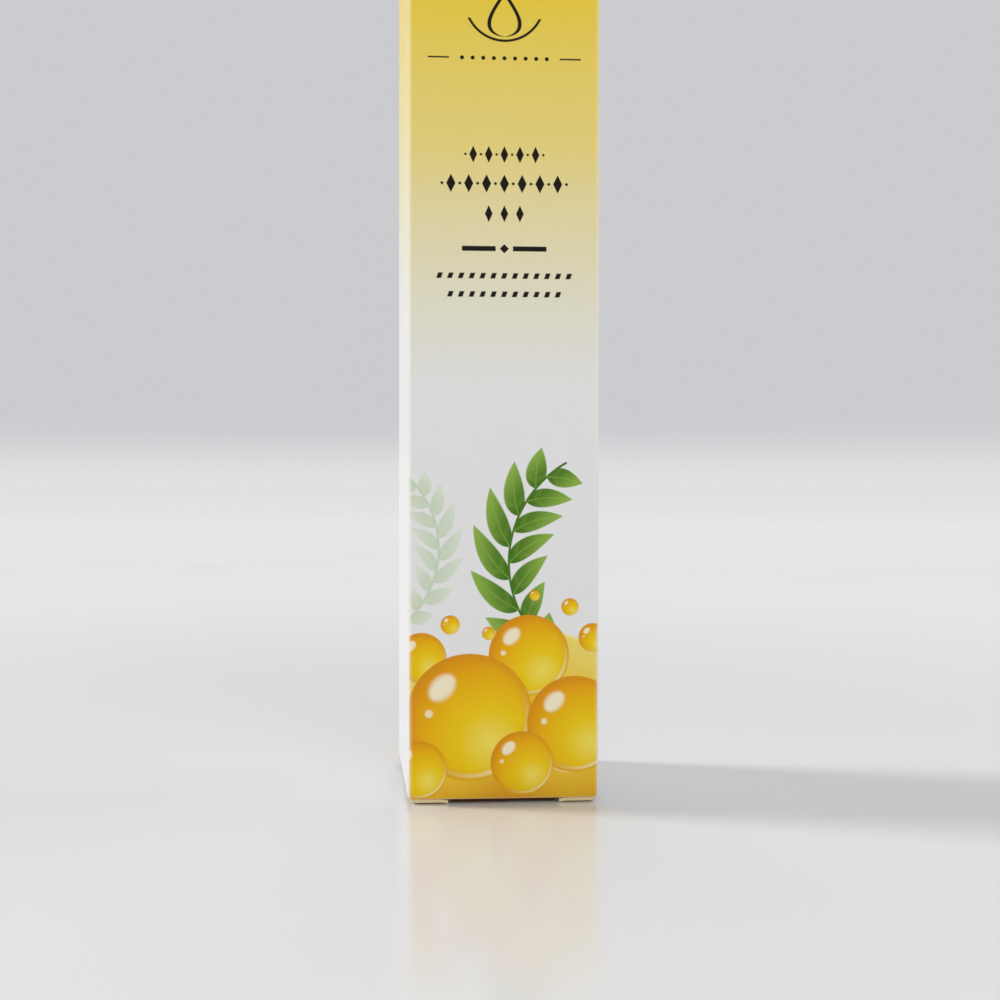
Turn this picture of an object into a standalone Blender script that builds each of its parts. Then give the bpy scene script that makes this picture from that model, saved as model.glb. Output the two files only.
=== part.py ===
"""A slim square folding carton with a tuck lid at each end, and the slim cuticle oil bottle that stands in it.

Metres, +Z up. The origin is the middle of the carton's footprint, on the surface that it stands on.
The front wall faces -Y. Both lids hinge on the back wall and tuck in behind the front wall.
"""

import math

import bmesh
import bpy
from mathutils import Matrix, Vector

# Carton: one board, creased and wrapped
board_thickness = 0.00035
board_gap = 0.0003  # room between two boards that only rest on each other
carton_side_room = 0.0007  # from the bottle to the glue flap's face
carton_front_room = 0.0004  # from the bottle to the tuck flap's face
carton_headroom = 0.0074  # from the cap's top to the dust flaps over it
upright_crease_radius = 0.0006
glue_flap_length = 0.0080
glue_flap_shortening = 0.0030  # how far its ends stay clear of the dust flaps
glue_flap_end_taper = 0.0018
glue_room = 0.0001

# Lids, tuck flaps and dust flaps, the same at both ends
lid_side_setback = 0.00045
lid_shoulder_setback = 0.00005
lid_shoulder_length = 0.00375
lid_corner_radius = 0.0005
tuck_length = 0.0090
tuck_side_room = 0.00035
tuck_front_room = 0.0004  # to the front wall, for the swing of its tip
tuck_corner_radius = 0.0030
dust_flap_middle_room = 0.00085  # from each flap's tip to the carton's middle
dust_flap_rear_start = 0.0012  # measured forwards from the lid's crease
dust_flap_front_room = 0.00275  # from the flap's front to the tuck flap's crease, for the tuck flap's swing
dust_flap_rear_taper = 0.55  # no less than the share of the lid's turn that the flap makes
dust_flap_front_taper = 0.35

# Glass bottle
bottle_body_height = 0.0660
bottle_base_thickness = 0.0040
bottle_wall = 0.0014
bottle_shoulder_thickness = 0.0030
bottle_edge_radius = 0.0008
bottle_inner_radius_of_corner = 0.0030
bottle_punt_radius = 0.0045
bottle_punt_depth = 0.0006
neck_wall = 0.0014
neck_height = 0.0100
neck_lip_radius = 0.0003
bottle_clearance = 0.0003  # between the bottle's base and the flaps that carry it

# Screw thread of the neck and the cap
thread_pitch = 0.0024
thread_turns = 1.5
thread_start_height = 0.0016
thread_height = 0.0007
thread_root_width = 0.0011
thread_crest_width = 0.0005
thread_root_overlap = 0.0002
thread_clearance = 0.00025

# Oil
oil_clearance = 0.0003
oil_ullage = 0.0045  # from the oil's surface up to the shoulder's inside

# Wiper in the neck
seat_clearance = 0.0003
wiper_length = 0.0090
wiper_wall = 0.0007
wiper_cone_inset = 0.0007
wiper_flange_setback = 0.0003
wiper_flange_thickness = 0.0008
wiper_cone_height = 0.0030

# Cap
cap_height = 0.0490
cap_wall = 0.0011
cap_top_thickness = 0.0015
cap_edge_radius = 0.0010
cap_rim_radius = 0.0003
insert_wall = 0.00115
insert_plate_thickness = 0.0012
insert_skirt_rise = 0.0012  # how far the insert's lower rim stays above the shoulder
liner_thickness = 0.0008
liner_side_room = 0.00115

# Brush wand
stem_radius = 0.0016
stem_head_radius = 0.0034
stem_head_thickness = 0.0018
stem_socket_wall = 0.00045
stem_socket_depth = 0.0038
tuft_length = 0.0092  # out of the stem
tuft_belly_radius = 0.00155
tuft_tip_room = 0.0018  # from the tip down to the bottle's inner floor
tuft_tip_radius = 0.0004
anchor_radius = 0.0003
anchor_end_room = 0.0004
anchor_drop = 0.0008

# Fineness
crease_steps = 5
bead_steps = 10
turned_steps = 40
small_turned_steps = 20
cut_overrun = 0.0020

# Radii from the stem outwards: each piece closes round the one inside it, and the carton round the bottle
stem_hole_radius = stem_radius + seat_clearance
wiper_bore_radius = stem_hole_radius + wiper_cone_inset
wiper_radius = wiper_bore_radius + wiper_wall
neck_bore_radius = wiper_radius + seat_clearance
neck_radius = neck_bore_radius + neck_wall
insert_bore_radius = neck_radius + thread_height + thread_clearance
insert_radius = insert_bore_radius + insert_wall
cap_inner_radius = insert_radius + seat_clearance
bottle_radius = cap_inner_radius + cap_wall
bottle_inner_radius = bottle_radius - bottle_wall
wiper_flange_radius = neck_radius - wiper_flange_setback
liner_radius = insert_bore_radius - liner_side_room
stem_socket_radius = stem_radius - stem_socket_wall
tuft_root_radius = stem_socket_radius - seat_clearance
anchor_half_length = stem_socket_radius - anchor_end_room
brush_well_radius = max(stem_radius, tuft_belly_radius) + oil_clearance
bead_radius = board_thickness  # a crease swells inwards by the board's own thickness
glue_flap_inner_x = bottle_radius + carton_side_room
half_width = glue_flap_inner_x + 2 * board_thickness + glue_room
tuck_axis_y = -(bottle_radius + carton_front_room)
half_depth = bead_radius + tuck_front_room + board_thickness - tuck_axis_y

# Places of the creases and the flaps
lid_axis_y = half_depth - bead_radius
lid_axis_depth = bead_radius
lid_half_width = half_width - lid_side_setback
tongue_half_width = half_width - board_thickness - tuck_side_room
notch_half_width = lid_half_width - lid_shoulder_length
front_wall_depth = board_thickness + board_gap
back_wall_depth = 2 * bead_radius + board_gap
dust_axis_x = half_width - bead_radius
dust_flap_length = dust_axis_x - dust_flap_middle_room
dust_flap_front_start = lid_axis_y - tuck_axis_y - dust_flap_front_room
dust_outer_depth = board_thickness + board_gap
dust_axis_depth = dust_outer_depth + bead_radius
dust_inner_depth = dust_outer_depth + board_thickness
side_wall_depth = dust_axis_depth + bead_radius + board_gap

# Heights, from the bottle's base upwards
bottle_base_z = dust_inner_depth + bottle_clearance
shoulder_z = bottle_base_z + bottle_body_height
neck_top_z = shoulder_z + neck_height
inner_floor_z = bottle_base_z + bottle_base_thickness
inner_ceiling_z = shoulder_z - bottle_shoulder_thickness
thread_start_z = shoulder_z + thread_start_height
oil_top_z = inner_ceiling_z - oil_ullage
wiper_flange_z = neck_top_z + seat_clearance
liner_z = wiper_flange_z + wiper_flange_thickness + seat_clearance
insert_plate_z = liner_z + liner_thickness + seat_clearance
insert_top_z = insert_plate_z + insert_plate_thickness
stem_head_z = insert_top_z + seat_clearance
cap_rim_z = shoulder_z + seat_clearance
cap_top_z = cap_rim_z + cap_height
carton_height = cap_top_z + carton_headroom + dust_inner_depth
tuft_tip_z = inner_floor_z + tuft_tip_room
stem_end_z = tuft_tip_z + tuft_length


def start_scene():
    for obj in list(bpy.data.objects):
        bpy.data.objects.remove(obj)
    for name in ("cuticle_oil_carton", "cutters"):
        collection = bpy.data.collections.new(name)
        bpy.context.scene.collection.children.link(collection)


def finish_of(name, colour, roughness, metallic=0.0, alpha=1.0):
    """A Principled material with the part's own colour."""
    material = bpy.data.materials.new(name)
    material.use_nodes = True
    shader = material.node_tree.nodes["Principled BSDF"]
    shader.inputs["Base Color"].default_value = (*colour, 1.0)
    shader.inputs["Roughness"].default_value = roughness
    shader.inputs["Metallic"].default_value = metallic
    shader.inputs["Alpha"].default_value = alpha
    return material


def add_object(name, mesh):
    obj = bpy.data.objects.new(name, mesh)
    bpy.data.collections["cuticle_oil_carton"].objects.link(obj)
    return obj


def as_cutter(obj):
    """Moves an object to the cutters, where it shapes others and isn't itself a piece."""
    bpy.data.collections["cuticle_oil_carton"].objects.unlink(obj)
    bpy.data.collections["cutters"].objects.link(obj)
    obj.hide_render = True
    obj.display_type = "WIRE"
    return obj


def boolean(obj, other, operation):
    modifier = obj.modifiers.new(other.name, "BOOLEAN")
    modifier.operation = operation
    modifier.solver = "EXACT"
    modifier.object = other


def set_origin(obj, place):
    """Puts the object's origin at a place, such as its joint's axis, without moving its shape."""
    shift = Vector(place)
    obj.data.transform(Matrix.Translation(-shift))
    obj.location = shift


def arc(centre, radius, start_degrees, end_degrees, steps):
    """Points along an arc in the plane of an outline."""
    angles = [
        math.radians(start_degrees + (end_degrees - start_degrees) * i / steps) for i in range(steps + 1)
    ]
    return [(centre[0] + radius * math.cos(a), centre[1] + radius * math.sin(a)) for a in angles]


# An outline's own plane, turned so that it is drawn out along X, from (y, z), or along Y, from (x, z)
outline_turns = {
    "X": Matrix(((0, 0, 1, 0), (1, 0, 0, 0), (0, 1, 0, 0), (0, 0, 0, 1))),
    "Y": Matrix(((1, 0, 0, 0), (0, 0, -1, 0), (0, 1, 0, 0), (0, 0, 0, 1))),
}


def extruded(name, outline, axis, low, high):
    """A flat outline, a filled 2D curve, drawn out along X or Y from low to high. It is made a mesh."""
    curve = bpy.data.curves.new(name, "CURVE")
    curve.dimensions = "2D"
    curve.fill_mode = "BOTH"
    curve.extrude = (high - low) / 2
    spline = curve.splines.new("POLY")
    spline.points.add(len(outline) - 1)
    for point, (across, up) in zip(spline.points, outline):
        point.co = (across, up, 0, 1)
    spline.use_cyclic_u = True
    flat = add_object(name + "_outline", curve)
    middle = Vector((0, 0, 0))
    middle["XY".index(axis)] = (high + low) / 2
    mesh = bpy.data.meshes.new_from_object(flat.evaluated_get(bpy.context.evaluated_depsgraph_get()))
    bpy.data.objects.remove(flat)
    mesh.transform(Matrix.Translation(middle) @ outline_turns[axis])
    shape = bmesh.new()
    shape.from_mesh(mesh)
    bmesh.ops.remove_doubles(shape, verts=shape.verts, dist=board_thickness / 100)
    bmesh.ops.recalc_face_normals(shape, faces=shape.faces)
    shape.to_mesh(mesh)
    shape.free()
    mesh.name = name
    return add_object(name, mesh)


def box(name, low, high):
    """A cube primitive stretched between two corners."""
    mesh = bpy.data.meshes.new(name)
    shape = bmesh.new()
    bmesh.ops.create_cube(shape, size=1)
    size = [b - a for a, b in zip(low, high)]
    middle = [(a + b) / 2 for a, b in zip(low, high)]
    bmesh.ops.scale(shape, vec=size, verts=shape.verts)
    bmesh.ops.translate(shape, vec=middle, verts=shape.verts)
    shape.to_mesh(mesh)
    shape.free()
    return add_object(name, mesh)


def turned(name, profile, closed, steps):
    """A profile of (radius, height) points turned about Z with a Screw modifier."""
    mesh = bpy.data.meshes.new(name)
    edges = [(i, i + 1) for i in range(len(profile) - 1)]
    if closed:
        edges.append((len(profile) - 1, 0))
    mesh.from_pydata([(radius, 0, height) for radius, height in profile], edges, [])
    obj = add_object(name, mesh)
    screw = obj.modifiers.new("turn", "SCREW")
    screw.axis = "Z"
    screw.steps = steps
    screw.render_steps = steps
    screw.use_merge_vertices = True
    screw.merge_threshold = board_thickness / 100
    screw.use_smooth_shade = True
    return obj


def thread_ridge(name, root_radius, crest_radius, start_z):
    """One helical ridge with closed ends, as a cutter that is later united with its wall."""
    half_root = thread_root_width / 2
    half_crest = thread_crest_width / 2
    section = [
        (root_radius, start_z + half_root),
        (crest_radius, start_z + half_crest),
        (crest_radius, start_z - half_crest),
        (root_radius, start_z - half_root),
    ]
    mesh = bpy.data.meshes.new(name)
    mesh.from_pydata([(r, 0, z) for r, z in section], [(0, 1), (1, 2), (2, 3), (3, 0)], [])
    guide = add_object(name + "_section", mesh)
    screw = guide.modifiers.new("helix", "SCREW")
    screw.axis = "Z"
    screw.angle = 2 * math.pi * thread_turns
    screw.screw_offset = thread_pitch * thread_turns
    screw.steps = round(turned_steps * thread_turns)
    screw.render_steps = screw.steps
    helix = bpy.data.meshes.new_from_object(guide.evaluated_get(bpy.context.evaluated_depsgraph_get()))
    bpy.data.objects.remove(guide)
    shape = bmesh.new()
    shape.from_mesh(helix)
    bmesh.ops.holes_fill(shape, edges=[e for e in shape.edges if e.is_boundary])
    bmesh.ops.recalc_face_normals(shape, faces=shape.faces)
    shape.to_mesh(helix)
    shape.free()
    return as_cutter(add_object(name, helix))


def end_z(end, depth):
    """The height of a place that lies this far inwards from the carton's top or bottom plane."""
    return carton_height - depth if end == "top" else depth


def board(obj, finish, origin):
    obj.data.materials.append(finish)
    set_origin(obj, origin)
    return obj


def carton_sleeve(finish):
    """Front, side and back walls of one board, with the glue flap lapped inside the right wall."""
    radius = upright_crease_radius
    flap_x = half_width - board_thickness - glue_room
    outer = [(half_width, half_depth - board_thickness)]
    outer += arc((half_width - radius, radius - half_depth), radius, 0, -90, crease_steps)
    outer += arc((radius - half_width, radius - half_depth), radius, -90, -180, crease_steps)
    outer += arc((radius - half_width, half_depth - radius), radius, 180, 90, crease_steps)
    outer += arc((flap_x - radius, half_depth - radius), radius, 90, 0, crease_steps)
    outer.append((flap_x, half_depth - glue_flap_length))
    low = end_z("bottom", front_wall_depth)
    high = end_z("top", front_wall_depth)
    mesh = bpy.data.meshes.new("carton_sleeve")
    shape = bmesh.new()
    points = [shape.verts.new((x, y, low)) for x, y in outer]
    edges = [shape.edges.new(pair) for pair in zip(points, points[1:])]
    risen = bmesh.ops.extrude_edge_only(shape, edges=edges)["geom"]
    raised = [v for v in risen if isinstance(v, bmesh.types.BMVert)]
    bmesh.ops.translate(shape, vec=(0, 0, high - low), verts=raised)
    shape.to_mesh(mesh)
    shape.free()
    sleeve = add_object("carton_sleeve", mesh)
    wall = sleeve.modifiers.new("board", "SOLIDIFY")
    wall.thickness = board_thickness
    wall.offset = -1
    wall.use_even_offset = True
    for end in ("top", "bottom"):
        cut_sleeve_end(sleeve, end)
    sleeve.data.materials.append(finish)
    return sleeve


def cut_sleeve_end(sleeve, end):
    """Shortens the back wall for the lid's crease, the side walls for the dust flaps', and the glue flap."""
    outside_z = end_z(end, -cut_overrun)
    beyond_x = half_width + cut_overrun
    beyond_y = half_depth + cut_overrun
    back_y = lid_axis_y - bead_radius - board_gap
    side_front_y = lid_axis_y - dust_flap_front_start - board_gap
    side_rear_y = lid_axis_y - dust_flap_rear_start + board_gap
    for name, low_y, high_y, depth in (
        ("back_cut", back_y, beyond_y, back_wall_depth),
        ("side_cut", side_front_y, side_rear_y, side_wall_depth),
    ):
        z = sorted((outside_z, end_z(end, depth)))
        cutter = box(f"{end}_{name}", (-beyond_x, low_y, z[0]), (beyond_x, high_y, z[1]))
        boolean(sleeve, as_cutter(cutter), "DIFFERENCE")
    fold_y = half_depth - upright_crease_radius
    edge_y = half_depth - glue_flap_length - cut_overrun
    edge_z = end_z(end, side_wall_depth + glue_flap_shortening)
    fold_z = end_z(end, side_wall_depth + glue_flap_shortening - glue_flap_end_taper)
    outline = [(edge_y, outside_z), (edge_y, edge_z), (fold_y, fold_z), (fold_y, outside_z)]
    inner_x = glue_flap_inner_x - board_gap
    outer_x = half_width - board_thickness - glue_room / 2
    cutter = extruded(f"{end}_glue_flap_cut", outline, "X", inner_x, outer_x)
    boolean(sleeve, as_cutter(cutter), "DIFFERENCE")


def round_corners(obj, radius, picks):
    """Rounds the edges that run along the axis through the board at the places that picks chooses."""
    shape = bmesh.new()
    shape.from_mesh(obj.data)
    edges = [e for e in shape.edges if picks(e)]
    bmesh.ops.bevel(shape, geom=edges, offset=radius, segments=crease_steps, affect="EDGES", profile=0.5)
    shape.to_mesh(obj.data)
    shape.free()


def lid(end, finish):
    """The end panel, with the bead of its crease at the back and two shoulders over the front wall's edge."""
    facing = 1 if end == "top" else -1
    outer_z = end_z(end, 0)
    axis = (lid_axis_y, end_z(end, lid_axis_depth))
    inner_z = end_z(end, board_thickness)
    front_y = lid_shoulder_setback - half_depth
    outline = [(front_y, inner_z), (front_y, outer_z)]
    outline += arc(axis, bead_radius, 90 * facing, -180 * facing, bead_steps)
    panel = extruded(f"{end}_lid", outline, "X", -lid_half_width, lid_half_width)

    def at_front_corner(edge):
        through_board = abs(edge.verts[0].co.z - edge.verts[1].co.z) > board_thickness / 2
        return through_board and all(abs(v.co.y - front_y) < board_gap / 2 for v in edge.verts)

    round_corners(panel, lid_corner_radius, at_front_corner)
    notch_y = tuck_axis_y + bead_radius + board_gap
    z = sorted((end_z(end, -cut_overrun), end_z(end, board_thickness + cut_overrun)))
    notch = box(
        f"{end}_lid_notch",
        (-notch_half_width, -half_depth - cut_overrun, z[0]),
        (notch_half_width, notch_y, z[1]),
    )
    boolean(panel, as_cutter(notch), "DIFFERENCE")
    return board(panel, finish, (0, *axis))


def tuck_flap(end, finish):
    """The tongue that tucks in behind the front wall, slit free of the lid's shoulders at both sides."""
    facing = 1 if end == "top" else -1
    axis = (tuck_axis_y, end_z(end, lid_axis_depth))
    outer_y = tuck_axis_y - bead_radius
    tip_z = end_z(end, tuck_length)
    outline = [(outer_y + board_thickness, tip_z), (outer_y, tip_z)]
    outline += arc(axis, bead_radius, 180 * facing, -90 * facing, bead_steps)
    flap = extruded(f"{end}_tuck_flap", outline, "X", -tongue_half_width, tongue_half_width)

    def at_tip_corner(edge):
        along_board = abs(edge.verts[0].co.y - edge.verts[1].co.y) > board_thickness / 2
        at_tip = all(abs(v.co.z - tip_z) < board_gap / 2 for v in edge.verts)
        return along_board and at_tip

    round_corners(flap, tuck_corner_radius, at_tip_corner)
    bead_half = notch_half_width - board_gap
    z = sorted((end_z(end, -cut_overrun), end_z(end, back_wall_depth)))
    for side in (-1, 1):
        x = sorted((side * bead_half, side * (tongue_half_width + cut_overrun)))
        ear = box(
            f"{end}_ear_cut_{'left' if side < 0 else 'right'}",
            (x[0], outer_y - cut_overrun, z[0]),
            (x[1], tuck_axis_y + cut_overrun, z[1]),
        )
        boolean(flap, as_cutter(ear), "DIFFERENCE")
    return board(flap, finish, (0, *axis))


def dust_flap(end, side, finish):
    """A side wall's flap under the lid. It tapers at both edges, so that it can rise with the lid."""
    sign = -1 if side == "left" else 1
    facing = 1 if end == "top" else -1
    axis_z = end_z(end, dust_axis_depth)
    outer_z = end_z(end, dust_outer_depth)
    inner_z = end_z(end, dust_inner_depth)
    outline = [(dust_axis_x - dust_flap_length, inner_z), (dust_axis_x - dust_flap_length, outer_z)]
    outline += arc((dust_axis_x, axis_z), bead_radius, 90 * facing, -180 * facing, bead_steps)
    outline = [(sign * x, z) for x, z in outline]
    rear_y = lid_axis_y - dust_flap_rear_start
    front_y = lid_axis_y - dust_flap_front_start
    flap = extruded(f"{end}_dust_flap_{side}", outline, "Y", front_y, rear_y)
    shape = bmesh.new()
    shape.from_mesh(flap.data)
    for y, taper, backwards in ((rear_y, dust_flap_rear_taper, 1), (front_y, dust_flap_front_taper, -1)):
        cut = bmesh.ops.bisect_plane(
            shape,
            geom=shape.verts[:] + shape.edges[:] + shape.faces[:],
            plane_co=(sign * dust_axis_x, y, axis_z),
            plane_no=Vector((-sign * taper, backwards, 0)).normalized(),
            clear_outer=True,
        )["geom_cut"]
        bmesh.ops.holes_fill(shape, edges=[e for e in cut if isinstance(e, bmesh.types.BMEdge)])
    bmesh.ops.recalc_face_normals(shape, faces=shape.faces)
    shape.to_mesh(flap.data)
    shape.free()
    return board(flap, finish, (sign * dust_axis_x, 0, axis_z))


def carton(white_board):
    carton_sleeve(white_board)
    for end in ("top", "bottom"):
        lid(end, white_board)
        tuck_flap(end, white_board)
        for side in ("left", "right"):
            dust_flap(end, side, white_board)


def placed(obj, finish):
    obj.data.materials.append(finish)
    return obj


def glass_bottle(finish):
    """A heavy-walled round bottle with a screw neck."""
    edge = bottle_edge_radius
    turn = bottle_inner_radius_of_corner
    profile = [(0, inner_floor_z)]
    profile += arc((bottle_inner_radius - turn, inner_floor_z + turn), turn, -90, 0, crease_steps)
    profile += arc((bottle_inner_radius - turn, inner_ceiling_z - turn), turn, 0, 90, crease_steps)
    profile += [(neck_bore_radius, inner_ceiling_z), (neck_bore_radius, neck_top_z)]
    profile += arc((neck_radius - neck_lip_radius, neck_top_z - neck_lip_radius), neck_lip_radius, 90, 0, 2)
    profile.append((neck_radius, shoulder_z))
    profile += arc((bottle_radius - edge, shoulder_z - edge), edge, 90, 0, crease_steps)
    profile += arc((bottle_radius - edge, bottle_base_z + edge), edge, 0, -90, crease_steps)
    profile += [(bottle_punt_radius, bottle_base_z), (0, bottle_base_z + bottle_punt_depth)]
    bottle = turned("glass_bottle", profile, False, turned_steps)
    ridge = thread_ridge(
        "neck_thread", neck_radius - thread_root_overlap, neck_radius + thread_height, thread_start_z
    )
    boolean(bottle, ridge, "UNION")
    return placed(bottle, finish)


def cuticle_oil(finish):
    """The oil, with the well that the brush stands in."""
    radius = bottle_inner_radius - oil_clearance
    turn = bottle_inner_radius_of_corner
    floor_z = inner_floor_z + oil_clearance
    well_z = (floor_z + tuft_tip_z) / 2
    profile = [(0, well_z), (brush_well_radius, well_z), (brush_well_radius, oil_top_z), (radius, oil_top_z)]
    profile += arc((radius - turn, floor_z + turn), turn, 0, -90, crease_steps)
    profile.append((0, floor_z))
    return placed(turned("cuticle_oil", profile, False, turned_steps), finish)


def neck_wiper(finish):
    """The soft sleeve in the neck that wipes the stem, with a flange over the lip."""
    flange_top = wiper_flange_z + wiper_flange_thickness
    low_z = flange_top - wiper_length
    bore = wiper_bore_radius
    throat = stem_hole_radius
    profile = [
        (throat, low_z),
        (throat, low_z + wiper_wall),
        (bore, low_z + wiper_cone_height),
        (bore, flange_top),
        (wiper_flange_radius, flange_top),
        (wiper_flange_radius, wiper_flange_z),
        (wiper_radius, wiper_flange_z),
        (wiper_radius, low_z + wiper_cone_height),
        (throat + wiper_wall, low_z),
    ]
    return placed(turned("neck_wiper", profile, True, turned_steps), finish)


def cap_shell(finish):
    """The tall outer cap, closed at the top."""
    edge = cap_edge_radius
    ceiling = cap_top_z - cap_top_thickness
    rim = cap_rim_radius
    profile = [(0, cap_top_z)]
    profile += arc((bottle_radius - edge, cap_top_z - edge), edge, 90, 0, crease_steps)
    profile += arc((bottle_radius - rim, cap_rim_z + rim), rim, 0, -90, 2)
    profile += [(cap_inner_radius, cap_rim_z), (cap_inner_radius, ceiling), (0, ceiling)]
    return placed(turned("cap_shell", profile, False, turned_steps), finish)


def cap_thread_insert(finish):
    """The threaded cup that is pressed into the outer cap and carries the wand."""
    low_z = shoulder_z + insert_skirt_rise
    profile = [
        (stem_hole_radius, insert_plate_z),
        (stem_hole_radius, insert_top_z),
        (insert_radius, insert_top_z),
        (insert_radius, low_z),
        (insert_bore_radius, low_z),
        (insert_bore_radius, insert_plate_z),
    ]
    insert = turned("cap_thread_insert", profile, True, turned_steps)
    ridge = thread_ridge(
        "insert_thread",
        insert_bore_radius + thread_root_overlap,
        insert_bore_radius - thread_height,
        thread_start_z + thread_pitch / 2,
    )
    boolean(insert, ridge, "UNION")
    return placed(insert, finish)


def sealing_liner(finish):
    """The soft ring between the insert's plate and the wiper's flange."""
    profile = [
        (stem_hole_radius, liner_z),
        (stem_hole_radius, liner_z + liner_thickness),
        (liner_radius, liner_z + liner_thickness),
        (liner_radius, liner_z),
    ]
    return placed(turned("sealing_liner", profile, True, turned_steps), finish)


def brush_stem(finish):
    """The round stem: a head on the insert's plate, and a socket for the tuft at its lower end."""
    top_z = stem_head_z + stem_head_thickness
    profile = [
        (0, top_z),
        (stem_head_radius, top_z),
        (stem_head_radius, stem_head_z),
        (stem_radius, stem_head_z),
        (stem_radius, stem_end_z),
        (stem_socket_radius, stem_end_z),
        (stem_socket_radius, stem_end_z + stem_socket_depth),
        (0, stem_end_z + stem_socket_depth),
    ]
    return placed(turned("brush_stem", profile, False, small_turned_steps), finish)


def tuft(finish):
    """The brush's hair as one soft body: a root in the socket, a belly below it, and a rounded tip."""
    root_top = stem_end_z + stem_socket_depth - anchor_drop - 2 * anchor_radius - seat_clearance / 2
    belly_z = (stem_end_z + tuft_tip_z) / 2
    profile = [
        (0, root_top),
        (tuft_root_radius, root_top),
        (tuft_root_radius, stem_end_z - seat_clearance),
        (tuft_belly_radius, belly_z),
        (tuft_tip_radius, tuft_tip_z),
        (0, tuft_tip_z),
    ]
    return placed(turned("brush_bristles", profile, False, small_turned_steps), finish)


def brush_anchor(finish):
    """The short wire over which the tuft is folded, across the socket."""
    mesh = bpy.data.meshes.new("brush_anchor")
    shape = bmesh.new()
    bmesh.ops.create_cone(
        shape,
        cap_ends=True,
        segments=crease_steps * 2,
        radius1=anchor_radius,
        radius2=anchor_radius,
        depth=2 * anchor_half_length,
    )
    bmesh.ops.rotate(shape, matrix=Matrix.Rotation(math.radians(90), 3, "Y"), verts=shape.verts)
    shape.to_mesh(mesh)
    shape.free()
    wire = add_object("brush_anchor", mesh)
    wire.location.z = stem_end_z + stem_socket_depth - anchor_drop - anchor_radius
    return placed(wire, finish)


def bottle():
    glass_bottle(finish_of("clear_glass", (0.95, 0.97, 0.96), 0.03, alpha=0.35))
    cuticle_oil(finish_of("golden_oil", (0.86, 0.60, 0.12), 0.05, alpha=0.6))
    neck_wiper(finish_of("soft_natural_plastic", (0.88, 0.88, 0.84), 0.45))
    cap_shell(finish_of("gold_lacquered_cap", (0.83, 0.62, 0.20), 0.25, metallic=0.9))
    cap_thread_insert(finish_of("white_plastic", (0.86, 0.86, 0.85), 0.4))
    sealing_liner(finish_of("foam_liner", (0.90, 0.90, 0.88), 0.7))
    brush_stem(finish_of("stem_plastic", (0.84, 0.84, 0.82), 0.35))
    tuft(finish_of("brush_hair", (0.78, 0.74, 0.66), 0.6))
    brush_anchor(finish_of("anchor_wire", (0.75, 0.74, 0.70), 0.3, metallic=1.0))


def smooth_rounds():
    """Shades the turned pieces and the folds smooth, and keeps their true edges sharp."""
    for obj in bpy.data.collections["cuticle_oil_carton"].objects:
        obj.data.shade_smooth()
        if obj.data.polygons:
            obj.data.set_sharp_from_angle(angle=math.radians(35))


def main():
    start_scene()
    carton(finish_of("printed_white_board", (0.86, 0.85, 0.82), 0.45))
    bottle()
    smooth_rounds()


main()
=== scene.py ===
import math

import bpy
import numpy as np
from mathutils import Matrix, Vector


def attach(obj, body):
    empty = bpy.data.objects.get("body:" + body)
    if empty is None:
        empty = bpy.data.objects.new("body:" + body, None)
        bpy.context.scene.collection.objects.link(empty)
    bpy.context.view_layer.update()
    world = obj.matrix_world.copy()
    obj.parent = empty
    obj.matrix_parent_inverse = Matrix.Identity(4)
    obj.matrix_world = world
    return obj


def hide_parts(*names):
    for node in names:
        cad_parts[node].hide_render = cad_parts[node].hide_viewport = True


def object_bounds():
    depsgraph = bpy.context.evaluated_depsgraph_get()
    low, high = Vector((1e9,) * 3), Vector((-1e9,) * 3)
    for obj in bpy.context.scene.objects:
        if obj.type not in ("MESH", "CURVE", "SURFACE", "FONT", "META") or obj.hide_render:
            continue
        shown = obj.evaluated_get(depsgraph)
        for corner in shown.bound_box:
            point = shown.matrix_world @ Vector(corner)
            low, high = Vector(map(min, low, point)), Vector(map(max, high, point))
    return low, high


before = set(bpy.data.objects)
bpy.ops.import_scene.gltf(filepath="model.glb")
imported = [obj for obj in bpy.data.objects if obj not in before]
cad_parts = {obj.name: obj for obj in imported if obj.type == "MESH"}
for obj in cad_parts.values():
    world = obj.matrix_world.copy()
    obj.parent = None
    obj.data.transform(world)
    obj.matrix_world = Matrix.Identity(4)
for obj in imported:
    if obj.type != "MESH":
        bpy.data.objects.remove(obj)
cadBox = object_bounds()
mm = 0.001
print("frame loaded,", len(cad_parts), "nodes")


def lengths(**sizes):
    # a piece's dictionary, with its sizes given in millimetres
    return {name: size * mm for name, size in sizes.items()}


# helpers for node trees
class Value:
    # a number, vector or colour on its way through a node tree; its sums and products are Math nodes
    def __init__(self, tree, socket):
        self.tree = tree
        self.socket = socket

    def math(self, operation, *others):
        return addNode(self.tree, "ShaderNodeMath", [self, *others], operation=operation)

    def __add__(self, other):
        return self.math("ADD", other)

    def __sub__(self, other):
        return self.math("SUBTRACT", other)

    def __rsub__(self, other):
        return self.math("MULTIPLY", -1.0).math("ADD", other)

    def __mul__(self, other):
        return self.math("MULTIPLY", other)

    def __truediv__(self, other):
        return self.math("DIVIDE", other)

    def __abs__(self):
        return self.math("ABSOLUTE")

    def __pow__(self, other):
        return self.math("POWER", other)

    def below(self, limit, soft):
        # 1 where the value is under the limit, 0 where it is over, with a soft edge
        return rise(self, limit + soft, limit - soft)

    def above(self, limit, soft):
        return rise(self, limit - soft, limit + soft)


def feed(tree, slot, value):
    # a link from a Value, or else a constant; a plain colour gets its alpha
    if isinstance(value, Value):
        tree.links.new(value.socket, slot)
    elif isinstance(value, tuple) and len(value) == 3 and slot.type == "RGBA":
        slot.default_value = (*value, 1.0)
    else:
        slot.default_value = value


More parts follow.
